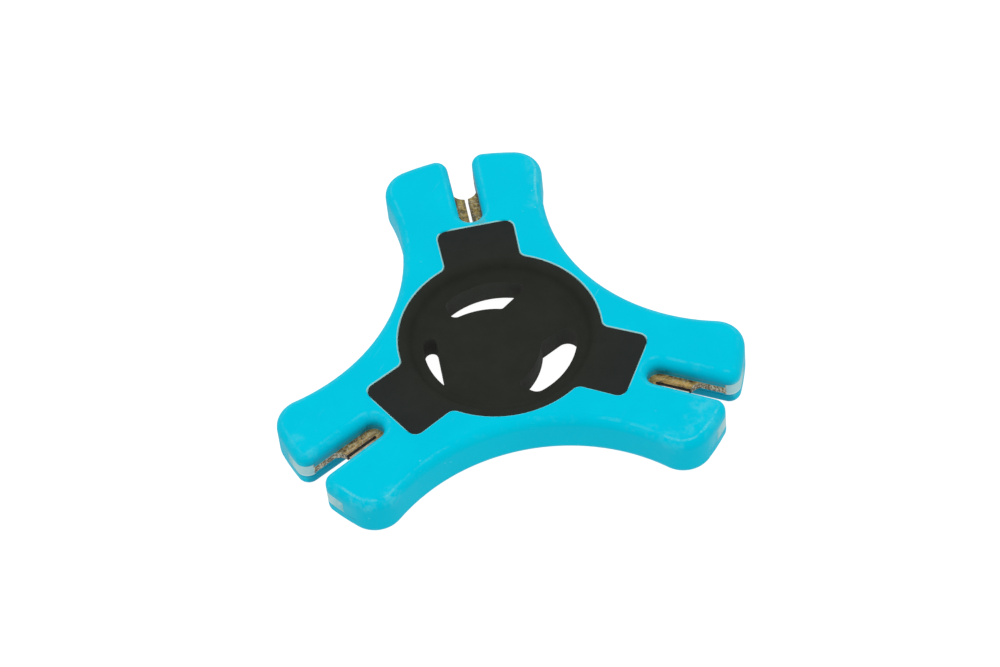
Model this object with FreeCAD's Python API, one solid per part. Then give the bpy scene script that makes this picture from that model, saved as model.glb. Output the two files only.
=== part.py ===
"""Three-armed spoke key: two moulded shells round three forked steel jaws, with a black cover on each face.

Millimetres. The origin is on the hub axis at the bottom face, +Z is up, and the first arm points along +Y.
"""
import FreeCAD, Part
import math
import os

# Driving dimensions
thickness = 7.0          # whole tool, top face to bottom face
arm_reach = 36.0         # hub axis to the end of an arm
arm_angles = (90.0, 210.0, 330.0)

flank_radius = 28.4      # hollow side between two arms
flank_distance = 45.6    # hub axis to the centre of that hollow
tip_round = 4.4          # outer corners of an arm, seen from above
top_round = 1.5          # edge round of the top face
bottom_round = 1.3       # edge round of the bottom face

slot_half_mouth = 1.93   # half the slot's width at the end of the arm
slot_half_deep = 1.78    # half its width at the inner end, which is a half circle
slot_end = 22.8          # hub axis to the inner end of the slot
mouth_round = 1.8        # corners of the slot's mouth, seen from above

parting_height = 2.8     # plane where the two shells meet
seam_depth = 0.12        # small groove round the end of each arm, just under the parting plane
seam_height = 0.12
seam_drop = 0.5          # from the parting plane down to the groove
seam_half_width = 8.5    # how far the groove reaches to each side of an arm's middle line
seam_start = 21.5        # hub axis to the inner end of the groove

hub_radius = 15.0        # round middle of the black cover
lobe_reach = 21.15       # hub axis to the end of a cover lobe
lobe_half_root = 5.58    # half width of a lobe at the round middle
lobe_half_end = 5.76     # half width of a lobe at its end
lobe_overlap = 3.0       # how far a lobe is drawn into the round middle
lobe_corner = 1.35
lobe_root_round = 1.5
cover_skin = 1.2         # thickness of a cover over the lobes
cover_gap = 0.05         # space round a cover in its recess
recess_bevel = 0.22      # bevelled edge of the recess, seen as a thin pale line

dish_depth = 1.6         # finger dish in the middle of a cover
dish_floor_radius = 12.0
dish_rim_radius = 14.6
boss_radius = 14.0       # thick round middle under the dish
boss_depth = 2.4         # from the tool's face to the underside of that middle
spigot_radius = 13.0     # round step on the lower shell that centres the upper shell
spigot_top = 3.4
spigot_gap = 0.05

dish_bend = 0.14         # share of the dish's depth at which its side starts to bend
bevel_share = 0.98       # share of the recess's edge that the bevel takes away

# Windows, each drawn as if it sat on the +Y arm: the outer side is an arc of a circle round the hub axis
# between two angles, and the inner corners are (x, y) places from left to right, with an arc through three.
# The corner rounds are for the outer left, outer right, inner left and inner right corner; 0 is a sharp one.
window_plans = (
    {"arm": 90.0, "radius": 11.08, "ends": (128.0, 57.5),
     "inner": ((-6.5, 5.4), (-2.5, 6.33), (1.35, 5.8)), "rounds": (1.2, 0.9, 1.2, 0.6)},
    {"arm": 210.0, "radius": 11.43, "ends": (94.5, 46.5),
     "inner": ((7.35, 6.5),), "rounds": (0.0, 0.95, 0.9, 0.0)},
    {"arm": 330.0, "radius": 11.33, "ends": (126.5, 48.0),
     "inner": ((-1.35, 5.92), (3.0, 6.27), (7.05, 4.95)), "rounds": (1.7, 1.5, 0.0, 0.9)},
)
collar_wall = 0.8        # black lining of a window, part of a cover

jaw_half_width = 6.3     # outside half width of a jaw's fork
jaw_inner_end = 19.2     # hub axis to the hidden end of a jaw
jaw_corner = 1.5         # hidden corners of a jaw
jaw_thickness = 1.2
pad_length = 1.95        # thick pad at the end of each finger, flush with the end of the arm
pad_low = 2.5
pad_high = 4.7
jaw_gap = 0.04           # space round a jaw in its pocket
lead_in_radius = 2.0     # hollow lead-in at the bottom of the nipple slot
lead_in_bottom = 29.2    # hub axis to the lowest point of the lead-in
slit_end = 24.0          # hub axis to the inner end of the slit
nipple_widths = (3.75, 3.68, 3.60)
slit_width = 0.5

peg_radius = 0.9         # plastic pegs that hold a jaw
peg_hole_radius = 0.95
peg_root = 2.0           # pegs start inside the lower shell
peg_top = 4.4
peg_end_gap = 0.1
peg_places = ((-4.15, 30.6), (4.15, 30.6), (0.0, 21.0))

screw_circle = 16.4      # three screws, one under each lobe of the bottom cover
screw_head_radius = 1.9
screw_head_height = 0.55
screw_radius = 1.1
screw_head_round = 0.25
screw_tip_bevel = 0.4
screw_bore_gap = 0.05
screw_length = 3.3
screw_recess_radius = 0.95
screw_recess_depth = 0.3
screw_head_gap = 0.15
screw_end_gap = 0.1
screw_seat = 1.75        # height of the face that a screw head bears on

UP = FreeCAD.Vector(0, 0, 1)
CENTRE = FreeCAD.Vector(0, 0, 0)
SLACK = 1.0              # how far a cutting body runs past the face it opens
OVERLAP = 0.5            # how far one body runs into another that it is joined to
TOUCH = 0.01             # allowance when an edge is picked by its place
NEAR = 0.3               # wider allowance, for a corner that a cut has moved a little


def point(x, y, z=0.0):
    return FreeCAD.Vector(x, y, z)


def polar(radius, degrees, z=0.0):
    angle = math.radians(degrees)
    return point(radius * math.cos(angle), radius * math.sin(angle), z)


def cylinder(radius, low, high, centre=(0.0, 0.0)):
    return Part.makeCylinder(radius, high - low, point(centre[0], centre[1], low), UP)


def block(x_low, x_high, y_low, y_high, z_low, z_high):
    return Part.makeBox(x_high - x_low, y_high - y_low, z_high - z_low, point(x_low, y_low, z_low))


def half_space(z_low, z_high):
    """A slab wider than the whole tool."""
    wide = arm_reach + SLACK
    return block(-wide, wide, -wide, wide, z_low, z_high)


def turned(shape, degrees):
    """A copy of the shape, turned about the hub axis."""
    copy = shape.copy()
    copy.rotate(CENTRE, UP, degrees)
    return copy


def on_arm(shape, arm_angle):
    """A shape drawn on the +Y arm, moved to another arm."""
    return turned(shape, arm_angle - 90.0)


def prism(edges, low, high):
    """A closed outline in the plan, raised from one height to another."""
    face = Part.Face(Part.Wire(Part.__sortEdges__(edges)))
    solid = face.extrude(point(0, 0, high - low))
    solid.translate(point(0, 0, low))
    return solid


def polygon_edges(corners):
    pairs = zip(corners, corners[1:] + corners[:1])
    return [Part.makeLine(point(*a), point(*b)) for a, b in pairs]


def upright_edges(solid, wanted):
    """The edges that stand upright at plan positions accepted by a test."""
    chosen = []
    for edge in solid.Edges:
        ends = [vertex.Point for vertex in edge.Vertexes]
        if len(ends) != 2:
            continue
        same_place = math.hypot(ends[0].x - ends[1].x, ends[0].y - ends[1].y) < 1e-6
        if same_place and wanted(ends[0].x, ends[0].y):
            chosen.append(edge)
    return chosen


def level_edges(solid, height, wanted=lambda edge: True):
    """The edges that lie in one level plane."""
    box_low = height - 1e-4
    box_high = height + 1e-4
    return [
        edge for edge in solid.Edges
        if edge.BoundBox.ZMin > box_low and edge.BoundBox.ZMax < box_high and wanted(edge)
    ]


def grown(solid, low, high, amount):
    """The solid's plan outline, moved outwards by an amount, raised between two heights."""
    bottom = min(solid.Faces, key=lambda face: face.CenterOfMass.z)
    wire = bottom.OuterWire.makeOffset2D(amount)
    face = Part.Face(wire)
    raised = face.extrude(point(0, 0, high - low))
    raised.translate(point(0, 0, low - bottom.CenterOfMass.z))
    return raised


# Body

def slot_prism(low, high, inset=0.0):
    """The open slot in the end of the +Y arm, widened on every side by the inset."""
    round_centre = slot_end + slot_half_deep
    deep = slot_half_deep + inset
    wide = slot_half_mouth + inset
    mouth = arm_reach + SLACK
    sides = [(-deep, round_centre), (-wide, mouth), (wide, mouth), (deep, round_centre)]
    channel = prism(polygon_edges(sides), low, high)
    return channel.fuse(cylinder(deep, low, high, (0.0, round_centre))).removeSplitter()


def body_plan(low, high, inset=0.0):
    """The tri-armed outline with its slots, between two heights, drawn in on every side by the inset."""
    reach = arm_reach - inset
    plan = cylinder(reach, low, high)
    for arm_angle in arm_angles:
        hollow = polar(flank_distance, arm_angle - 60.0)
        plan = plan.cut(cylinder(flank_radius + inset, low, high, (hollow.x, hollow.y)))
    tips = upright_edges(plan, lambda x, y: math.hypot(x, y) > reach - TOUCH)
    plan = plan.makeFillet(tip_round - inset, tips)
    for arm_angle in arm_angles:
        plan = plan.cut(on_arm(slot_prism(low, high, inset), arm_angle))

    def at_mouth(x, y):
        for arm_angle in arm_angles:
            end = polar(reach, arm_angle)
            if math.hypot(x - end.x, y - end.y) < slot_half_mouth + inset + NEAR:
                return math.hypot(x, y) > reach - TOUCH
        return False

    return plan.makeFillet(mouth_round - inset, upright_edges(plan, at_mouth))


def rounded_body():
    body = body_plan(0.0, thickness)
    body = body.makeFillet(top_round, level_edges(body, thickness))
    return body.makeFillet(bottom_round, level_edges(body, 0.0))


# Hub

def hub_prism(low, high):
    """The round middle with its three lobes."""
    middle = cylinder(hub_radius, low, high)
    root = hub_radius - lobe_overlap
    lobe_corners = [
        (-lobe_half_root, root), (-lobe_half_end, lobe_reach),
        (lobe_half_end, lobe_reach), (lobe_half_root, root),
    ]
    for arm_angle in arm_angles:
        middle = middle.fuse(on_arm(prism(polygon_edges(lobe_corners), low, high), arm_angle))
    middle = middle.removeSplitter()
    corners = upright_edges(middle, lambda x, y: math.hypot(x, y) > hub_radius + SLACK)
    middle = middle.makeFillet(lobe_corner, corners)
    roots = upright_edges(middle, lambda x, y: abs(math.hypot(x, y) - hub_radius) < NEAR)
    return middle.makeFillet(lobe_root_round, roots)


def dish():
    """The hollow of the upper finger dish, a solid of revolution with a soft S-shaped side."""
    floor = thickness - dish_depth
    middle_radius = (dish_floor_radius + dish_rim_radius) / 2.0
    middle_height = thickness - dish_depth / 2.0
    quarter = (dish_rim_radius - dish_floor_radius) / 4.0
    low_bulge = point(middle_radius - quarter, 0.0, floor + dish_depth * dish_bend)
    high_bulge = point(middle_radius + quarter, 0.0, thickness - dish_depth * dish_bend)
    top = thickness + SLACK
    edges = [
        Part.makeLine(point(0, 0, floor), point(dish_floor_radius, 0, floor)),
        Part.Arc(point(dish_floor_radius, 0, floor), low_bulge,
                 point(middle_radius, 0, middle_height)).toShape(),
        Part.Arc(point(middle_radius, 0, middle_height), high_bulge,
                 point(dish_rim_radius, 0, thickness)).toShape(),
        Part.makeLine(point(dish_rim_radius, 0, thickness), point(dish_rim_radius, 0, top)),
        Part.makeLine(point(dish_rim_radius, 0, top), point(0, 0, top)),
        Part.makeLine(point(0, 0, top), point(0, 0, floor)),
    ]
    return Part.Face(Part.Wire(edges)).revolve(CENTRE, UP, 360.0)


# Windows

def arc_through(start, middle, end):
    return Part.Arc(point(*start), point(*middle), point(*end)).toShape()


def rounded_corners(solid, corners):
    for (corner_x, corner_y), radius in corners:
        edges = upright_edges(solid, lambda x, y: math.hypot(x - corner_x, y - corner_y) < TOUCH)
        solid = solid.makeFillet(radius, edges)
    return solid


def window(plan, low, high):
    """One window of the hub as a solid, between two heights."""
    left, crown, right = [
        tuple(polar(plan["radius"], angle))[:2]
        for angle in (plan["ends"][0], sum(plan["ends"]) / 2.0, plan["ends"][1])
    ]
    inner = plan["inner"]
    edges = [
        arc_through(left, crown, right),
        Part.makeLine(point(*right), point(*inner[-1])),
        Part.makeLine(point(*inner[0]), point(*left)),
    ]
    if len(inner) == 3:
        edges.append(arc_through(*inner))
    corners = zip((left, right, inner[0], inner[-1]), plan["rounds"])
    solid = rounded_corners(prism(edges, low, high), [corner for corner in corners if corner[1] > 0.0])
    return on_arm(solid, plan["arm"])


def windows(low, high):
    return [window(plan, low, high) for plan in window_plans]


def window_collars(low, high):
    return [grown(hole, low, high, collar_wall) for hole in windows(low, high)]


def cut_all(solid, tools):
    for tool in tools:
        solid = solid.cut(tool)
    return solid


def flipped(solid):
    """The solid mirrored in the level plane at the tool's middle height."""
    return solid.mirror(point(0, 0, thickness / 2.0), UP)


# Covers

def make_top_cover():
    middle_height = thickness / 2.0
    cover = hub_prism(thickness - cover_skin, thickness)
    cover = cover.fuse(cylinder(boss_radius, thickness - boss_depth, thickness - cover_skin))
    for collar in window_collars(middle_height, thickness - boss_depth):
        cover = cover.fuse(collar)
    cover = cover.removeSplitter().cut(dish())
    return cut_all(cover, windows(middle_height - SLACK, thickness + SLACK))


def make_bottom_cover():
    """The top cover's mirror image in the tool's middle plane, so that the windows go right through."""
    return flipped(make_top_cover())


def cover_recess():
    """The space that the top cover fills in the upper shell, with a little room round it."""
    outline = hub_prism(thickness - cover_skin, thickness)
    room = grown(outline, thickness - cover_skin, thickness + SLACK, cover_gap)
    room = room.fuse(cylinder(boss_radius + cover_gap, thickness - boss_depth, thickness - cover_skin))
    bevel = hub_prism(thickness - recess_bevel, thickness + SLACK)
    bevel = grown(bevel, thickness - recess_bevel, thickness, cover_gap + recess_bevel)
    bevel = bevel.makeChamfer(recess_bevel * bevel_share, level_edges(bevel, thickness - recess_bevel))
    return room.fuse(bevel)


# Jaws

def jaw_slot(nipple_width, low, high):
    """Nipple slot, hollow lead-in and narrow slit, as one cutting body on the +Y arm."""
    half = nipple_width / 2.0
    slit_half = slit_width / 2.0
    lead_centre = lead_in_bottom + lead_in_radius
    shoulder = lead_centre - math.sqrt(lead_in_radius ** 2 - half ** 2)
    mouth = arm_reach + SLACK
    edges = [
        arc_through((-half, shoulder), (0.0, lead_in_bottom), (half, shoulder)),
        Part.makeLine(point(half, shoulder), point(half, mouth)),
        Part.makeLine(point(half, mouth), point(-half, mouth)),
        Part.makeLine(point(-half, mouth), point(-half, shoulder)),
    ]
    tool = prism(edges, low, high)
    slit_round = slit_end + slit_half
    tool = tool.fuse(block(-slit_half, slit_half, slit_round, lead_in_bottom + OVERLAP, low, high))
    return tool.fuse(cylinder(slit_half, low, high, (0.0, slit_round))).removeSplitter()


def make_jaw(nipple_width, arm_angle):
    """Forked plate whose two fingers end in thick pads that lie flush in the arm's end."""
    low = parting_height
    high = parting_height + jaw_thickness
    pad_start = arm_reach - pad_length
    fork = block(-jaw_half_width, jaw_half_width, jaw_inner_end, pad_start, low, high)
    fork = fork.makeFillet(jaw_corner, upright_edges(fork, lambda x, y: y < jaw_inner_end + TOUCH))
    fork = fork.cut(jaw_slot(nipple_width, low, high))
    pads = block(-jaw_half_width, jaw_half_width, pad_start, arm_reach + SLACK, pad_low, pad_high)
    pads = pads.common(body_plan(pad_low, pad_high))
    jaw = fork.fuse(pads).removeSplitter()
    for x, y in peg_places:
        jaw = jaw.cut(cylinder(peg_hole_radius, low, high, (x, y)))
    return on_arm(jaw, arm_angle)


def pad_pocket(arm_angle):
    """Room for the pads of one jaw, open to the end of the arm."""
    wide = jaw_half_width + jaw_gap
    pad_start = arm_reach - pad_length - jaw_gap
    return on_arm(block(-wide, wide, pad_start, arm_reach + SLACK, pad_low, pad_high), arm_angle)


def jaw_pocket(arm_angle):
    """Room for one jaw in the upper shell."""
    wide = jaw_half_width + jaw_gap
    low = parting_height - SLACK
    high = parting_height + jaw_thickness
    pocket = block(-wide, wide, jaw_inner_end - jaw_gap, arm_reach + SLACK, low, high)
    return on_arm(pocket, arm_angle)


def pegs(radius, high):
    places = [(x, y, arm_angle) for arm_angle in arm_angles for x, y in peg_places]
    return [on_arm(cylinder(radius, peg_root, high, (x, y)), a) for x, y, a in places]


# Screws

def make_screw():
    """Small pan-head screw standing head down on the +Y arm, with a plain recess in its head."""
    y = screw_circle
    low = screw_seat - screw_head_height
    head = cylinder(screw_head_radius, low, screw_seat, (0.0, y))
    head = head.makeFillet(screw_head_round, level_edges(head, low))
    shank = cylinder(screw_radius, screw_seat, screw_seat + screw_length, (0.0, y))
    shank = shank.makeChamfer(screw_tip_bevel, level_edges(shank, screw_seat + screw_length))
    screw = head.fuse(shank).removeSplitter()
    recess = cylinder(screw_recess_radius, low - SLACK, low + screw_recess_depth, (0.0, y))
    return screw.cut(recess)


def screw_holes():
    """Head recess and clearance for each screw, open towards the bottom cover."""
    y = screw_circle
    head = cylinder(screw_head_radius + screw_head_gap, -SLACK, screw_seat, (0.0, y))
    shank = cylinder(screw_radius + screw_bore_gap, 0.0, screw_seat + screw_length + screw_end_gap, (0.0, y))
    return [on_arm(head.fuse(shank), arm_angle) for arm_angle in arm_angles]


# Shells

def seam_grooves():
    """The groove round the end of each arm, left by the edge of the mould."""
    top = parting_height - seam_drop
    low = top - seam_height
    core = body_plan(low - SLACK, top + SLACK, seam_depth)
    reach = arm_reach + SLACK
    end = block(-seam_half_width, seam_half_width, seam_start, reach, low, top)
    return [on_arm(end, arm_angle).cut(core) for arm_angle in arm_angles]


def make_upper_shell(body):
    shell = body.common(half_space(parting_height, thickness + SLACK))
    shell = shell.cut(cover_recess())
    shell = shell.cut(cylinder(spigot_radius + spigot_gap, parting_height - SLACK, spigot_top))
    shell = cut_all(shell, window_collars(parting_height - SLACK, thickness))
    shell = cut_all(shell, [jaw_pocket(arm_angle) for arm_angle in arm_angles])
    shell = cut_all(shell, [pad_pocket(arm_angle) for arm_angle in arm_angles])
    shell = cut_all(shell, pegs(peg_hole_radius, peg_top + peg_end_gap))
    return cut_all(shell, screw_holes())


def make_lower_shell(body):
    shell = body.common(half_space(-SLACK, parting_height))
    shell = shell.fuse(cylinder(spigot_radius, parting_height - OVERLAP, spigot_top)).removeSplitter()
    shell = shell.cut(flipped(cover_recess()))
    shell = cut_all(shell, window_collars(-SLACK, spigot_top + SLACK))
    shell = cut_all(shell, [pad_pocket(arm_angle) for arm_angle in arm_angles])
    shell = cut_all(shell, seam_grooves())
    for peg in pegs(peg_radius, peg_top):
        shell = shell.fuse(peg)
    return cut_all(shell.removeSplitter(), screw_holes())


def main():
    os.makedirs("parts", exist_ok=True)
    body = rounded_body()
    nodes = {
        "upper_shell": make_upper_shell(body),
        "lower_shell": make_lower_shell(body),
        "top_cover": make_top_cover(),
        "bottom_cover": make_bottom_cover(),
        "shell_screws": Part.makeCompound([on_arm(make_screw(), angle) for angle in arm_angles]),
    }
    jaw_names = ("jaw_large", "jaw_medium", "jaw_small")
    for name, nipple_width, arm_angle in zip(jaw_names, nipple_widths, arm_angles):
        nodes[name] = make_jaw(nipple_width, arm_angle)
    for name, shape in nodes.items():
        print(name, "valid" if shape.isValid() else "INVALID", len(shape.Solids), round(shape.Volume, 1))
        shape.exportStep("parts/" + name + ".step")


main()
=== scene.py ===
import math

import bpy
from mathutils import Matrix, Vector

bl_info = {
    "name": "Spoke wrench finishes",
    "version": (1, 0, 0),
    "blender": (4, 5, 0),
    "location": "View3D > Sidebar > Spoke Wrench",
    "description": "Finishes, worn details and studio for a three-armed spoke wrench",
    "category": "Object",
}

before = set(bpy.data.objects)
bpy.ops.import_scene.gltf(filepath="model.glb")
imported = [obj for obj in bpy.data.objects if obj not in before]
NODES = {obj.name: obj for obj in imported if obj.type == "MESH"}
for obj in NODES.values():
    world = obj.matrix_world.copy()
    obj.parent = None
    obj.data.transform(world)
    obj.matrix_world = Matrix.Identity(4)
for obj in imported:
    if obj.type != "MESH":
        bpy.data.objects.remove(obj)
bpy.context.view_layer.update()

MM = 0.001
ARM_ANGLES = (90.0, 210.0, 330.0)
SHELLS = ("upper_shell", "lower_shell")
COVERS = ("top_cover", "bottom_cover")
JAWS = ("jaw_large", "jaw_medium", "jaw_small")
JAW_TONES = ((0.84, 0.78, 0.42), (1.28, 1.06, 0.78), (1.26, 0.98, 0.50))
# Strengths of a painted highlight on the flat beside one side of each slit
JAW_SLIT_HIGHLIGHT = (0.0, 0.35, 0.9)  # how bright the steel is on one side of each slit
SCREWS = ("shell_screws",)

# Places on the wrench, in millimetres. Heights are above the bottom face.
TOP = 7.0                   # upper face
FLANK_CENTRE = 45.6         # hub axis to the centre of a hollow flank
FLANK_EDGE = 30.05          # that centre to the inner edge of the rounded side
HUB_EDGE = 21.7             # hub axis to the farthest edge of a cover's recess
SLOT_START = 22.25          # hub axis to the deep end of a slot
SLOT_EDGE = 2.4             # middle of a slot to just outside its walls
JAW_TOP = 4.0               # upper side of the steel in a slot
PAD_LOW = 2.5               # lower side of the pads at the ends of a jaw
PAD_START = (33.95, 34.35)  # hub axis to the start of those pads, as a soft step
# The slit's rubbed side named below is the painted highlight beside the slit
SLIT_START = 25.0           # hub axis to the inner end of the slit's rubbed side

# Stage, in metres
FLOOR_HALF = 1.5
FLOOR_DROP = 0.00002        # keeps the floor clear of the bottom face
LIGHT_SIZE = 0.5
KEY_PLACE = (-0.25, 0.25, 0.6)
FILL_PLACE = (0.4, -0.3, 0.5)
CAMERA_PLACE = (-0.0338648, -0.3638181, 0.4679925)
CAMERA_FORWARD = (0.05764581, 0.6185367, -0.78363851)
CAMERA_UP = (0.18767143, 0.76423595, 0.61702743)
SENSOR_WIDTH = 36.0         # millimetres
CLIP_START = 0.01

# Layout of the nodes in the editor
COLUMNS = 12
COLUMN_WIDTH = 190
ROW_HEIGHT = 170
FIRST_NODE = (-2400, 600)

# Handling marks on the shells: x, y, z, size and strength, in millimetres
SHELL_MARKS = (
    (26.2, -19.6, 7.0, 2.6, 0.65),
    (24.2, -22.3, 7.0, 2.2, 0.55),
    (27.7, -22.8, 7.0, 2.0, 0.50),
    (23.3, -23.4, 7.0, 1.8, 0.45),
    (20.3, -25.0, 7.0, 3.2, 0.40),
    (17.9, -22.6, 7.0, 1.8, 0.35),
    (-29.1, -22.0, 6.7, 1.8, 0.60),
    (-26.8, -24.9, 6.7, 2.0, 0.80),
    (-24.4, -26.4, 6.7, 2.2, 0.80),
    (-20.2, -25.3, 6.7, 2.6, 0.60),
    (-32.4, -12.2, 6.8, 1.8, 0.45),
    (-30.7, -15.1, 6.8, 1.8, 0.45),
    (10.9, 31.2, 6.6, 2.2, 0.55),
    (11.5, 28.2, 6.6, 2.6, 0.45),
    (9.8, 23.9, 6.7, 2.2, 0.35),
)


# ---------------------------------------------------------------- node helpers

def new_material(name):
    """A node material with an output and a shader."""
    material = bpy.data.materials.new(name)
    material.use_nodes = True
    tree = material.node_tree
    tree.nodes.clear()
    output = tree.nodes.new("ShaderNodeOutputMaterial")
    shader = tree.nodes.new("ShaderNodeBsdfPrincipled")
    output.location = (900, 0)
    shader.location = (600, 0)
    tree.links.new(shader.outputs["BSDF"], output.inputs["Surface"])
    return material, tree, shader


def rgba(colour):
    return (colour[0], colour[1], colour[2], 1.0)


def toned(colour, tone):
    """The colour with each channel scaled."""
    return tuple(channel * factor for channel, factor in zip(colour, tone))


class Tree:
    """Short ways to add the nodes that these finishes share. Lengths in the node trees are millimetres."""

    def __init__(self, tree):
        self.tree = tree
        self.count = 0
        geometry = tree.nodes.new("ShaderNodeNewGeometry")
        scaled = self.add("ShaderNodeVectorMath", operation="SCALE")
        tree.links.new(geometry.outputs["Position"], scaled.inputs[0])
        scaled.inputs["Scale"].default_value = 1.0 / MM
        self.place = scaled.outputs[0]
        split = self.add("ShaderNodeSeparateXYZ")
        tree.links.new(self.place, split.inputs[0])
        self.x, self.y, self.z = split.outputs
        faces = self.add("ShaderNodeSeparateXYZ")
        tree.links.new(geometry.outputs["Normal"], faces.inputs[0])
        self.facing_up = faces.outputs[2]

    def add(self, kind, **settings):
        node = self.tree.nodes.new(kind)
        row, column = divmod(self.count, COLUMNS)
        node.location = (FIRST_NODE[0] + COLUMN_WIDTH * column, FIRST_NODE[1] - ROW_HEIGHT * row)
        self.count += 1
        for name, value in settings.items():
            setattr(node, name, value)
        return node

    def feed(self, socket, value):
        if isinstance(value, bpy.types.NodeSocket):
            self.tree.links.new(value, socket)
        elif socket.type == "RGBA":
            socket.default_value = rgba(value)
        else:
            socket.default_value = value

    def math(self, operation, first, second=0.0, clamp=False):
        node = self.add("ShaderNodeMath", operation=operation, use_clamp=clamp)
        self.feed(node.inputs[0], first)
        self.feed(node.inputs[1], second)
        return node.outputs[0]

    def product(self, *values):
        total = values[0]
        for value in values[1:]:
            total = self.math("MULTIPLY", total, value)
        return total

    def largest(self, values):
        total = values[0]
        for value in values[1:]:
            total = self.math("MAXIMUM", total, value)
        return total

    def ramp(self, value, low, high, low_out=0.0, high_out=1.0):
        """A smooth step. The limits may run either way, so that a falling step is written as one."""
        if low > high:
            low, high, low_out, high_out = high, low, high_out, low_out
        node = self.add("ShaderNodeMapRange", interpolation_type="SMOOTHSTEP", clamp=True)
        self.feed(node.inputs["Value"], value)
        node.inputs["From Min"].default_value = low
        node.inputs["From Max"].default_value = high
        node.inputs["To Min"].default_value = low_out
        node.inputs["To Max"].default_value = high_out
        return node.outputs[0]

    def between(self, value, low, high, soft):
        """One between the two limits and zero outside, with soft ends."""
        rise = self.ramp(value, low - soft, low + soft)
        fall = self.ramp(value, high + soft, high - soft)
        return self.math("MULTIPLY", rise, fall)

    def noise(self, size, detail=3.0, roughness=0.55, place=None):
        """Cloudy noise whose blobs are about size millimetres across."""
        node = self.add("ShaderNodeTexNoise")
        self.feed(node.inputs["Vector"], place or self.place)
        node.inputs["Scale"].default_value = 1.0 / size
        node.inputs["Detail"].default_value = detail
        node.inputs["Roughness"].default_value = roughness
        return node.outputs["Fac"]

    def grains(self, size):
        """Distance to scattered points about size millimetres apart, in units of that size."""
        node = self.add("ShaderNodeTexVoronoi", feature="F1")
        self.feed(node.inputs["Vector"], self.place)
        node.inputs["Scale"].default_value = 1.0 / size
        return node.outputs["Distance"]

    def stretched(self, turn, along, across):
        """The place, turned about Z and stretched, so that noise in it runs in streaks."""
        node = self.add("ShaderNodeMapping", vector_type="POINT")
        turned = self.add("ShaderNodeVectorRotate", rotation_type="Z_AXIS")
        self.feed(turned.inputs["Vector"], self.place)
        turned.inputs["Angle"].default_value = -turn
        self.feed(node.inputs["Vector"], turned.outputs[0])
        node.inputs["Scale"].default_value = (1.0 / along, 1.0 / across, 1.0 / across)
        return node.outputs[0]

    def spot(self, x, y, radius, z=TOP):
        """Fades from one at a place, which is on the upper face unless z is given, to zero at a radius."""
        node = self.add("ShaderNodeVectorMath", operation="DISTANCE")
        self.feed(node.inputs[0], self.place)
        node.inputs[1].default_value = (x, y, z)
        return self.ramp(node.outputs["Value"], radius, radius * 0.25)

    def mix(self, factor, first, second):
        node = self.add("ShaderNodeMix", data_type="RGBA", blend_type="MIX")
        self.feed(node.inputs[0], factor)
        self.feed(node.inputs[6], first)
        self.feed(node.inputs[7], second)
        return node.outputs[2]

    def bump(self, height, distance, strength=1.0, normal=None):
        """Distance is the depth of the relief in millimetres."""
        node = self.add("ShaderNodeBump")
        node.inputs["Strength"].default_value = strength
        node.inputs["Distance"].default_value = distance * MM
        self.feed(node.inputs["Height"], height)
        if normal is not None:
            self.feed(node.inputs["Normal"], normal)
        return node.outputs[0]

    def hub_distance(self):
        """Distance in the plan from the hub axis."""
        square = self.math("ADD", self.product(self.x, self.x), self.product(self.y, self.y))
        return self.math("SQRT", square)

    def flank_distances(self):
        """Distance in the plan from the centre of each hollow flank."""
        distances = []
        for degrees in ARM_ANGLES:
            turn = math.radians(degrees - 60.0)
            away_x = self.math("SUBTRACT", self.x, FLANK_CENTRE * math.cos(turn))
            away_y = self.math("SUBTRACT", self.y, FLANK_CENTRE * math.sin(turn))
            square = self.math("ADD", self.product(away_x, away_x), self.product(away_y, away_y))
            distances.append(self.math("SQRT", square))
        return distances

    def arm(self, degrees):
        """Distances along an arm from the hub axis, and to the left of its middle line."""
        cosine, sine = math.cos(math.radians(degrees)), math.sin(math.radians(degrees))
        along = self.math("ADD", self.product(self.x, cosine), self.product(self.y, sine))
        left = self.math("SUBTRACT", self.product(self.y, cosine), self.product(self.x, sine))
        return along, left

    def arms(self):
        """For each arm: distance along it from the hub axis, and distance across from its middle line."""
        axes = []
        for degrees in ARM_ANGLES:
            along, left = self.arm(degrees)
            axes.append((along, self.math("ABSOLUTE", left)))
        return axes


def paint_node(name, material):
    """Puts one material on every slot of a CAD node."""
    piece = NODES[name]
    if not piece.material_slots:
        raise RuntimeError(name + " has no material slot")
    for slot in piece.material_slots:
        slot.material = material


# ---------------------------------------------------------------- settings

def colour_setting(name, description, default):
    return bpy.props.FloatVectorProperty(
        name=name, description=description, default=default, min=0.0, max=1.0, size=3, subtype="COLOR")


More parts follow.
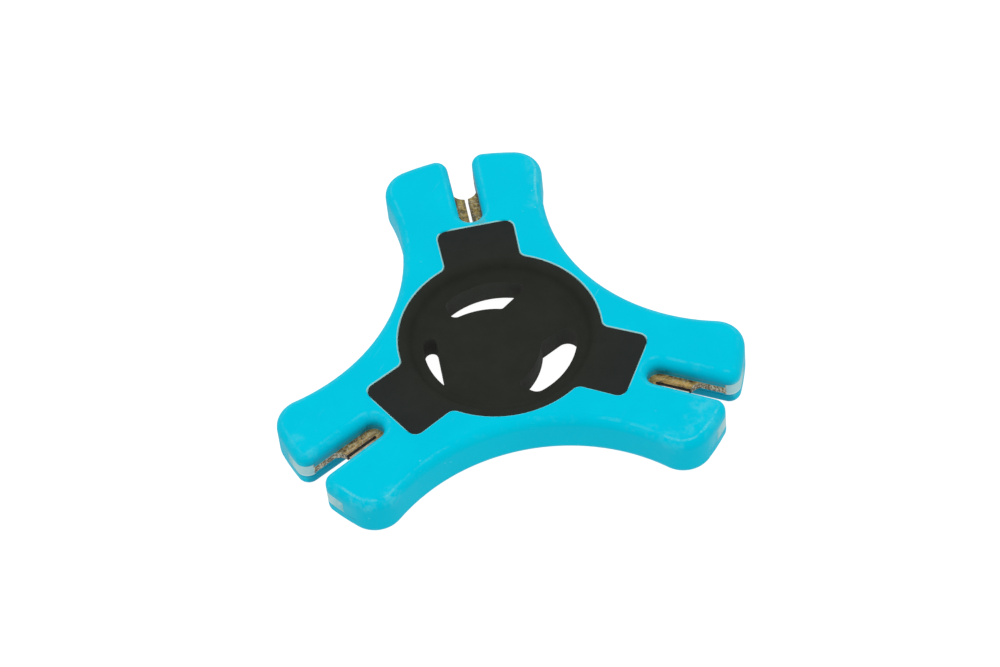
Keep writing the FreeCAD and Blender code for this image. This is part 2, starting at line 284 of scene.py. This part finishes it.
class SPOKE_PG_shell(bpy.types.PropertyGroup):
    """Moulded cyan shells"""
    colour: colour_setting("Colour", "Body colour of the moulded shells", (0.0, 0.635, 0.84))
    # Painted shade: a deeper blue for the lower walls of the slots
    slot_shade_colour: colour_setting("Deep colour", "Colour low down in the slots", (0.0, 0.30, 0.47))
    # The scuff colour also paints the highlights on the crest, the ledge above the steel and the lip below
    # the pads
    scuff_and_highlight_colour: colour_setting("Scuff colour", "Whitened plastic on rubbed edges", (0.16, 0.74, 0.84))
    edge_colour: colour_setting("Edge colour", "Pale edge of the recess round a cover", (0.48, 0.88, 0.88))
    end_colour: colour_setting("End colour", "Rubbed plastic on the ends of the arms", (0.20, 0.68, 0.80))
    grime_colour: colour_setting("Grime colour", "Grey-green grime beside the steel", (0.13, 0.38, 0.37))
    # Partly dirt and partly painted shade at the deep end of the slots
    packed_dirt_and_shade_colour: colour_setting(
        "Packed dirt colour", "Dark dirt at the deep end of the slots", (0.004, 0.055, 0.055))
    roughness: bpy.props.FloatProperty(
        name="Roughness", description="Base roughness of the moulding",
        default=0.36, min=0.05, max=1.0, subtype="FACTOR")
    scuffs: bpy.props.FloatProperty(
        name="Scuffs", description="How much the roundings are rubbed",
        default=0.10, min=0.0, max=1.0, subtype="FACTOR")
    crest: bpy.props.FloatProperty(
        name="Crest", description="How white the rubbed crest of the rounding is",
        default=0.75, min=0.0, max=1.0,
        subtype="FACTOR")


class SPOKE_PG_cover(bpy.types.PropertyGroup):
    """Black centre covers"""
    colour: colour_setting("Colour", "Colour of the black covers", (0.0212, 0.0238, 0.0186))
    edge_colour: colour_setting("Edge colour", "Colour near the edges of a cover", (0.016, 0.021, 0.021))
    # Painted light: a paler colour for the window walls
    window_wall_light_colour: colour_setting("Wall colour", "Colour of the walls of the windows", (0.046, 0.050, 0.042))
    roughness: bpy.props.FloatProperty(
        name="Roughness", description="Base roughness of the covers",
        default=0.75, min=0.05, max=1.0, subtype="FACTOR")


class SPOKE_PG_jaw(bpy.types.PropertyGroup):
    """Steel jaws"""
    bright: colour_setting("Bright colour", "Rubbed metal of the jaws", (0.66, 0.49, 0.26))
    dark: colour_setting("Dark colour", "Dull plating on the jaws", (0.38, 0.26, 0.12))
    glint: colour_setting("Glint colour", "Fresh scratches on the jaws", (0.97, 0.90, 0.74))
    dirt: colour_setting("Dirt colour", "Dirt on the jaws", (0.035, 0.022, 0.014))
    # Painted shade: near black for the walls inside the slit
    slit_shade_colour: colour_setting("Slit colour", "Dirt packed in the slit", (0.010, 0.006, 0.003))
    pale: colour_setting("Pale colour", "Frosted end pads of the jaws", (0.50, 0.80, 0.83))
    smear: colour_setting("Smear colour", "Plastic smeared over the ends of the pads", (0.10, 0.60, 0.70))
    roughness: bpy.props.FloatProperty(
        name="Roughness", description="Base roughness of the jaws",
        default=0.42, min=0.05, max=1.0, subtype="FACTOR")


class SPOKE_PG_stage(bpy.types.PropertyGroup):
    """Floor, lights and camera"""
    floor_colour: colour_setting("Floor colour", "Colour of the plain floor", (0.20, 0.20, 0.20))
    floor_glow: bpy.props.FloatProperty(
        name="Floor glow", description="Light that comes up through the white table", default=0.97, min=0.0)
    key_power: bpy.props.FloatProperty(
        name="Key light", description="Power of the large soft light", default=0.5, min=0.0, unit="POWER")
    fill_power: bpy.props.FloatProperty(
        name="Fill light", description="Power of the second soft light", default=0.3, min=0.0, unit="POWER")
    sky: bpy.props.FloatProperty(
        name="Sky", description="Strength of the even light from above", default=0.80, min=0.0)
    low_sky: bpy.props.FloatProperty(
        name="Low sky", description="Strength of the even light from below the table", default=0.68, min=0.0)
    lens: bpy.props.FloatProperty(
        name="Lens", description="Focal length of the camera", default=144.0, min=20.0, unit="CAMERA")


# ---------------------------------------------------------------- finishes

def shell_material(look):
    """Moulded plastic with whitened rubbed edges, grey handling marks, specks and grime beside the steel,
    plus painted shade low in the slots and painted highlights on crests and ledges.
    """
    material, tree, shader = new_material("shell_plastic_worn")
    t = Tree(tree)
    arms = t.arms()
    radius = t.hub_distance()
    cloud = t.noise(9.0, 4.0)
    fine = t.noise(0.5, 4.0, 0.7)
    grit = t.noise(0.16, 2.0, 0.6)

    # Colour of the moulding: a slow drift, and painted shade that makes it deeper low down in the slots
    base = t.mix(t.ramp(cloud, 0.35, 0.65), look.colour, toned(look.colour, (1.0, 0.965, 0.975)))
    in_slot = t.largest([
        t.product(
            t.ramp(across, SLOT_EDGE + 0.3, SLOT_EDGE - 0.35),
            t.ramp(along, SLOT_START - 0.35, SLOT_START + 0.35))
        for along, across in arms])
    deep = t.product(in_slot, t.ramp(t.z, 6.2, 4.4))
    base = t.mix(t.math("MULTIPLY", deep, 0.6), base, look.slot_shade_colour)

    # Grey band on the slot walls just above the steel, and a pale line at its foot that is a painted
    # highlight on the ledge where the steel stands proud
    worked = t.ramp(t.y, 20.0, 17.0)
    band = t.product(
        in_slot, worked, t.between(t.z, JAW_TOP + 0.15, JAW_TOP + 0.85, 0.2), t.ramp(fine, 0.25, 0.6))
    base = t.mix(t.math("MULTIPLY", band, 0.5), base, look.grime_colour)
    ledge_highlight = t.product(
        in_slot, worked, t.between(t.z, JAW_TOP, JAW_TOP + 0.14, 0.05), t.ramp(grit, 0.3, 0.5))
    base = t.mix(t.math("MULTIPLY", ledge_highlight, 0.6), base, look.scuff_and_highlight_colour)

    # Dark patch at the deep end of the two working slots, partly packed dirt and partly painted shade
    packed = t.product(
        in_slot, worked, t.between(radius, 23.6, 25.6, 0.8),
        t.between(t.z, JAW_TOP - 0.1, JAW_TOP + 1.2, 0.4))
    packed = t.product(packed, t.ramp(t.noise(1.2, 3.0, 0.6), 0.32, 0.52))
    base = t.mix(t.math("MULTIPLY", packed, 0.5), base, look.packed_dirt_and_shade_colour)

    # Pale edge of the recess that holds a cover, partly whitened plastic and partly a painted highlight on
    # its bevel; it stays clear of the rounded flanks
    clear = t.product(*[t.ramp(away, FLANK_EDGE - 0.07, FLANK_EDGE + 0.07) for away in t.flank_distances()])
    near_face = t.largest([t.ramp(t.z, TOP - 0.30, TOP - 0.24), t.ramp(t.z, 0.30, 0.24)])
    tilted = t.ramp(t.math("ABSOLUTE", t.facing_up), 0.93, 0.86)
    in_bevel = t.product(clear, near_face, tilted, t.ramp(radius, HUB_EDGE + 0.05, HUB_EDGE - 0.05))
    base = t.mix(t.math("MULTIPLY", in_bevel, 0.9), base, look.edge_colour)

    # Rubbed rounding of the top edge; the white line along the crest where the flat top ends is partly scuffs
    # and partly a painted highlight
    rounding = t.product(
        t.ramp(t.facing_up, 0.995, 0.93), t.ramp(t.facing_up, 0.25, 0.6), t.ramp(t.z, TOP - 1.6, TOP - 1.2))
    rubbed = t.product(rounding, t.ramp(t.noise(2.6, 3.0, 0.6), 0.46, 0.68), t.ramp(fine, 0.35, 0.6))
    base = t.mix(t.math("MULTIPLY", rubbed, look.scuffs), base, look.scuff_and_highlight_colour)
    crest = t.product(
        t.between(t.facing_up, 0.87, 0.965, 0.02), t.ramp(t.z, TOP - 0.7, TOP - 0.5),
        t.ramp(radius, 21.0, 22.5))
    busy = t.largest([0.28, t.spot(-24.5, -26.0, 9.0), t.spot(24.5, -24.0, 8.0), t.spot(12.0, 28.0, 7.0)])
    crest = t.product(crest, busy, t.ramp(t.noise(1.6, 3.0, 0.6), 0.40, 0.60), t.ramp(grit, 0.34, 0.55))
    base = t.mix(t.math("MULTIPLY", crest, look.crest), base, look.scuff_and_highlight_colour)

    # Handling marks, each a loose patch on one prong
    marks = t.largest([t.product(t.spot(x, y, size, z), strength) for x, y, z, size, strength in SHELL_MARKS])
    broken = t.product(marks, t.ramp(t.noise(1.3, 4.0, 0.7), 0.38, 0.72))
    base = t.mix(t.math("MULTIPLY", broken, 0.62), base, look.scuff_and_highlight_colour)

    # Ends of the arms are rubbed beside the steel
    ends = t.largest([
        t.product(t.ramp(across, 9.6, 6.6), t.ramp(along, 34.4, 35.3), t.between(t.z, 1.9, 5.0, 0.5))
        for along, across in arms])
    ends = t.product(ends, t.ramp(t.y, 14.0, 8.0), t.ramp(fine, 0.2, 0.55), t.ramp(t.noise(3.0), 0.3, 0.55))
    ends = t.math("MULTIPLY", ends, t.ramp(t.x, -10.0, 10.0, 0.22, 0.6))
    base = t.mix(ends, base, look.end_colour)

    # Painted highlight on the lip of plastic just below the pads
    lip = t.largest([
        t.product(t.ramp(across, 7.0, 6.3), t.ramp(along, 33.4, 34.2)) for along, across in arms])
    lip = t.product(lip, t.between(t.z, PAD_LOW - 0.12, PAD_LOW, 0.04))
    base = t.mix(t.math("MULTIPLY", lip, 0.6), base, look.scuff_and_highlight_colour)

    # Specks and short scratches
    speck = t.product(t.ramp(t.grains(2.3), 0.085, 0.03), t.ramp(t.noise(6.0), 0.45, 0.6))
    base = t.mix(t.math("MULTIPLY", speck, 0.5), base, look.scuff_and_highlight_colour)
    scratch = t.product(
        t.ramp(t.noise(1.0, 1.0, 0.4, t.stretched(0.9, 5.0, 0.12)), 0.70, 0.74),
        t.ramp(t.noise(7.0), 0.52, 0.62))
    base = t.mix(t.math("MULTIPLY", scratch, 0.25), base, look.scuff_and_highlight_colour)

    # Grime at the deep end of the first slot
    smudge = t.product(t.spot(0.9, 21.9, 1.5), t.ramp(t.noise(0.5, 3.0, 0.6), 0.38, 0.58))
    base = t.mix(t.math("MULTIPLY", smudge, 0.6), base, look.grime_colour)
    tree.links.new(base, shader.inputs["Base Color"])

    worn = t.largest([rubbed, crest, broken, t.math("MULTIPLY", ends, 0.8), band])
    rough = t.ramp(t.noise(3.5, 3.0), 0.3, 0.7, look.roughness - 0.04, look.roughness + 0.07)
    rough = t.math("ADD", rough, t.math("MULTIPLY", worn, 0.22), clamp=True)
    tree.links.new(rough, shader.inputs["Roughness"])
    shader.inputs["Specular IOR Level"].default_value = 0.06
    shader.inputs["Specular Tint"].default_value = (0.0, 0.80, 1.0, 1.0)
    skin = t.bump(t.noise(0.8, 2.0, 0.5), 0.012, 0.35)
    nicks = t.bump(t.math("MULTIPLY", worn, grit), 0.03, 0.5, skin)
    tree.links.new(nicks, shader.inputs["Normal"])
    return material


def cover_material(look):
    """Fine matt black plastic with painted shade near the lobes' edges and painted light that makes the
    window walls paler.
    """
    material, tree, shader = new_material("cover_plastic_matt")
    t = Tree(tree)
    radius = t.hub_distance()
    cloud = t.noise(6.0, 4.0)
    base = t.mix(t.ramp(cloud, 0.3, 0.7), look.colour, toned(look.colour, (0.9, 0.9, 0.9)))
    # Painted shade: darker and bluer towards the edges of the cover
    cover_edge_shade = t.ramp(radius, 12.5, 21.0)
    base = t.mix(t.math("MULTIPLY", cover_edge_shade, 0.6), base, look.edge_colour)
    # Painted light: the window walls get a paler colour to make up for the little light that reaches them
    upright = t.ramp(t.math("ABSOLUTE", t.facing_up), 0.5, 0.15)
    base = t.mix(upright, base, look.window_wall_light_colour)
    dust = t.product(t.ramp(t.grains(1.1), 0.08, 0.03), t.ramp(t.noise(4.0), 0.5, 0.62))
    base = t.mix(t.math("MULTIPLY", dust, 0.12), base, (0.16, 0.17, 0.16))
    tree.links.new(base, shader.inputs["Base Color"])
    rough = t.ramp(t.noise(2.0, 3.0), 0.3, 0.7, look.roughness - 0.06, look.roughness + 0.08)
    tree.links.new(rough, shader.inputs["Roughness"])
    shader.inputs["Specular IOR Level"].default_value = 0.12
    tree.links.new(t.bump(t.noise(0.25, 2.0, 0.6), 0.008, 0.4), shader.inputs["Normal"])
    return material


def jaw_material(look, arm_angle, tone, rubbed):
    """Scratched, brownish plated steel inside the slot and pale, frosted metal on the end pads, with painted
    shade in the slit and painted highlights beside it and along the pads' lower edge.
    """
    material, tree, shader = new_material("jaw_steel_%03d" % int(arm_angle))
    t = Tree(tree)
    along, left = t.arm(arm_angle)
    side = t.math("ABSOLUTE", left)

    grain = t.noise(1.0, 5.0, 0.7, t.stretched(math.radians(arm_angle), 1.2, 0.35))
    cross = t.noise(1.0, 4.0, 0.65, t.stretched(math.radians(arm_angle + 65.0), 0.9, 0.16))
    blotch = t.noise(1.1, 4.0, 0.6)
    sparkle = t.noise(0.22, 2.0, 0.7)
    gold = t.mix(t.ramp(grain, 0.40, 0.58), toned(look.dark, tone), toned(look.bright, tone))
    gold = t.mix(t.product(t.ramp(cross, 0.54, 0.66), 0.75), gold, look.glint)
    gold = t.mix(t.product(t.ramp(blotch, 0.52, 0.62), 0.7), gold, look.dirt)
    gold = t.mix(t.product(t.ramp(sparkle, 0.6, 0.7), 0.75), gold, look.glint)

    # The walls of the nipple slot are rougher and darker than the flat, and the slit's edges hold dirt
    upright = t.ramp(t.facing_up, 0.6, 0.2)
    wall = t.mix(t.ramp(t.noise(0.32, 3.0, 0.75), 0.45, 0.57), look.dirt, look.glint)
    gold = t.mix(t.product(upright, 0.7), gold, wall)
    by_slit = t.product(t.ramp(side, 0.8, 0.45), t.ramp(t.noise(0.6), 0.3, 0.55))
    gold = t.mix(t.product(by_slit, 0.4), gold, look.dirt)
    # Painted shade: the walls inside the slit are made near black
    slit = t.product(upright, t.ramp(side, 0.45, 0.35), t.ramp(along, 30.0, 29.6))
    gold = t.mix(t.math("MULTIPLY", slit, 0.96), gold, look.slit_shade_colour)
    # Dark band where the steel meets the plastic, partly dirt and partly painted shade
    steel_edge_dirt_and_shade = t.product(t.ramp(side, 1.15, 1.7), t.ramp(along, 30.0, 29.0), t.ramp(t.noise(0.5), 0.35, 0.55))
    gold = t.mix(t.product(steel_edge_dirt_and_shade, 0.75), gold, look.dirt)
    # Painted highlight: a bright line on the flat beside one side of the slit, whose strength is the rubbed
    # argument
    highlight_side = 1.0 if arm_angle < 270.0 else -1.0
    beside = t.between(t.math("MULTIPLY", left, highlight_side), 0.27, 0.8, 0.04)
    beside = t.product(
        beside, t.ramp(t.y, 10.0, 0.0), t.ramp(t.facing_up, 0.8, 0.95),
        t.ramp(along, SLIT_START - 0.4, SLIT_START + 0.4))
    gold = t.mix(t.math("MULTIPLY", beside, rubbed), gold, look.glint)

    # End pads
    frost = t.ramp(t.noise(0.9, 4.0, 0.6), 0.3, 0.7)
    pale = t.mix(frost, look.pale, toned(look.pale, (0.86, 0.93, 0.93)))
    pale = t.mix(t.product(t.ramp(t.grains(0.5), 0.2, 0.08), 0.35), pale, (0.75, 0.85, 0.85))
    # Painted highlight along the lower edge of the pads
    low_line = t.product(t.between(t.z, PAD_LOW + 0.02, PAD_LOW + 0.18, 0.05), t.ramp(side, 4.2, 3.2))
    pale = t.mix(t.product(low_line, 0.8), pale, (0.86, 0.95, 0.95))
    smeared = t.product(t.ramp(side, 3.9, 6.3), t.ramp(t.noise(1.2, 3.0), 0.2, 0.55))
    pale = t.mix(t.math("MULTIPLY", smeared, 0.8), pale, look.smear)
    end = t.ramp(along, *PAD_START)
    tree.links.new(t.mix(end, gold, pale), shader.inputs["Base Color"])
    tree.links.new(t.ramp(along, *PAD_START, 0.35, 0.05), shader.inputs["Metallic"])

    rough = t.ramp(sparkle, 0.3, 0.7, look.roughness - 0.12, look.roughness + 0.18)
    rough = t.math("ADD", rough, t.math("MULTIPLY", end, 0.1), clamp=True)
    tree.links.new(rough, shader.inputs["Roughness"])
    relief = t.product(t.math("ADD", grain, sparkle), t.ramp(along, *PAD_START, 1.0, 0.15))
    tree.links.new(t.bump(relief, 0.09, 0.9), shader.inputs["Normal"])
    return material


def screw_material():
    """Zinc-plated steel with a faint turned grain."""
    material, tree, shader = new_material("screw_steel_zinc")
    t = Tree(tree)
    base = t.mix(t.ramp(t.noise(0.6), 0.3, 0.7), (0.55, 0.55, 0.53), (0.38, 0.38, 0.37))
    tree.links.new(base, shader.inputs["Base Color"])
    shader.inputs["Metallic"].default_value = 1.0
    rough = t.ramp(t.noise(0.4), 0.3, 0.7, 0.25, 0.45)
    tree.links.new(rough, shader.inputs["Roughness"])
    tree.links.new(t.bump(t.noise(0.2), 0.01, 0.4), shader.inputs["Normal"])
    return material


# ---------------------------------------------------------------- operators

class SPOKE_OT_shells(bpy.types.Operator):
    """Finishes the two moulded shells"""
    bl_idname = "spoke.shells"
    bl_label = "Finish shells"

    def execute(self, context):
        material = shell_material(context.scene.spoke_shell)
        for name in SHELLS:
            paint_node(name, material)
        return {"FINISHED"}


class SPOKE_OT_covers(bpy.types.Operator):
    """Finishes the black centre covers"""
    bl_idname = "spoke.covers"
    bl_label = "Finish covers"

    def execute(self, context):
        material = cover_material(context.scene.spoke_cover)
        for name in COVERS:
            paint_node(name, material)
        return {"FINISHED"}


class SPOKE_OT_jaws(bpy.types.Operator):
    """Finishes the three steel jaws"""
    bl_idname = "spoke.jaws"
    bl_label = "Finish jaws"

    def execute(self, context):
        for name, arm_angle, tone, rubbed in zip(JAWS, ARM_ANGLES, JAW_TONES, JAW_SLIT_HIGHLIGHT):
            paint_node(name, jaw_material(context.scene.spoke_jaw, arm_angle, tone, rubbed))
        return {"FINISHED"}


class SPOKE_OT_screws(bpy.types.Operator):
    """Finishes the hidden screws"""
    bl_idname = "spoke.screws"
    bl_label = "Finish screws"

    def execute(self, context):
        material = screw_material()
        for name in SCREWS:
            paint_node(name, material)
        return {"FINISHED"}


def area_light(name, place, power):
    """A large square light that faces the origin."""
    data = bpy.data.lights.new(name, "AREA")
    data.shape = "SQUARE"
    data.size = LIGHT_SIZE
    data.energy = power
    light = bpy.data.objects.new(name, data)
    bpy.context.scene.collection.objects.link(light)
    light.location = place
    light.rotation_euler = (-Vector(place)).to_track_quat("-Z", "Y").to_euler()


class SPOKE_OT_stage(bpy.types.Operator):
    """Builds the plain floor, the soft lights and the camera"""
    bl_idname = "spoke.stage"
    bl_label = "Build stage"

    def execute(self, context):
        look = context.scene.spoke_stage
        scene = context.scene
        half = FLOOR_HALF
        mesh = bpy.data.meshes.new("floor")
        corners = [(-half, -half, 0.0), (half, -half, 0.0), (half, half, 0.0), (-half, half, 0.0)]
        mesh.from_pydata(corners, [], [(0, 1, 2, 3)])
        floor = bpy.data.objects.new("floor", mesh)
        scene.collection.objects.link(floor)
        floor.location.z = -FLOOR_DROP
        material, tree, shader = new_material("floor_paper")
        t = Tree(tree)
        pale = look.floor_colour
        shade = t.mix(t.ramp(t.noise(30.0), 0.3, 0.7), tuple(pale), toned(pale, (0.96, 0.96, 0.96)))
        tree.links.new(shade, shader.inputs["Base Color"])
        shader.inputs["Roughness"].default_value = 0.9
        shader.inputs["Specular IOR Level"].default_value = 0.0
        shader.inputs["Emission Color"].default_value = (1.0, 1.0, 1.0, 1.0)
        shader.inputs["Emission Strength"].default_value = look.floor_glow
        mesh.materials.append(material)
        floor.visible_diffuse = False
        floor.visible_glossy = False

        world = bpy.data.worlds.new("studio")
        scene.world = world
        world.use_nodes = True
        nodes, links = world.node_tree.nodes, world.node_tree.links
        background = nodes["Background"]
        place = nodes.new("ShaderNodeTexCoord")
        split = nodes.new("ShaderNodeSeparateXYZ")
        height = nodes.new("ShaderNodeMapRange")
        height.inputs["From Min"].default_value = -0.25
        height.inputs["From Max"].default_value = 0.35
        height.inputs["To Min"].default_value = look.low_sky
        height.inputs["To Max"].default_value = look.sky
        links.new(place.outputs["Generated"], split.inputs[0])
        links.new(split.outputs[2], height.inputs["Value"])
        links.new(height.outputs[0], background.inputs["Strength"])
        background.inputs["Color"].default_value = (1.0, 1.0, 1.0, 1.0)

        area_light("key", KEY_PLACE, look.key_power)
        area_light("fill", FILL_PLACE, look.fill_power)

        data = bpy.data.cameras.new("camera")
        data.lens = look.lens
        data.sensor_width = SENSOR_WIDTH
        data.clip_start = CLIP_START
        camera = bpy.data.objects.new("camera", data)
        scene.collection.objects.link(camera)
        forward = Vector(CAMERA_FORWARD)
        up = Vector(CAMERA_UP)
        right = forward.cross(up).normalized()
        up = right.cross(forward).normalized()
        turn = Matrix((right, up, -forward)).transposed().to_4x4()
        camera.matrix_world = Matrix.Translation(CAMERA_PLACE) @ turn
        scene.camera = camera
        scene.view_settings.view_transform = "Standard"
        scene.view_settings.look = "None"
        return {"FINISHED"}


class SPOKE_PT_panel(bpy.types.Panel):
    """Lists the steps that dress the wrench"""
    bl_idname = "SPOKE_PT_panel"
    bl_label = "Spoke Wrench"
    bl_space_type = "VIEW_3D"
    bl_region_type = "UI"
    bl_category = "Spoke Wrench"

    def draw(self, context):
        for operator in OPERATORS:
            self.layout.operator(operator.bl_idname)


SETTINGS = (
    ("spoke_shell", SPOKE_PG_shell),
    ("spoke_cover", SPOKE_PG_cover),
    ("spoke_jaw", SPOKE_PG_jaw),
    ("spoke_stage", SPOKE_PG_stage),
)
OPERATORS = (SPOKE_OT_shells, SPOKE_OT_covers, SPOKE_OT_jaws, SPOKE_OT_screws, SPOKE_OT_stage)


def register():
    for name, group in SETTINGS:
        bpy.utils.register_class(group)
        setattr(bpy.types.Scene, name, bpy.props.PointerProperty(type=group))
    for operator in OPERATORS:
        bpy.utils.register_class(operator)
    bpy.utils.register_class(SPOKE_PT_panel)


def unregister():
    bpy.utils.unregister_class(SPOKE_PT_panel)
    for operator in reversed(OPERATORS):
        bpy.utils.unregister_class(operator)
    for name, group in reversed(SETTINGS):
        delattr(bpy.types.Scene, name)
        bpy.utils.unregister_class(group)


def main():
    register()
    bpy.ops.spoke.shells()
    bpy.ops.spoke.covers()
    bpy.ops.spoke.jaws()
    bpy.ops.spoke.screws()
    bpy.ops.spoke.stage()


if __name__ == "__main__":
    main()
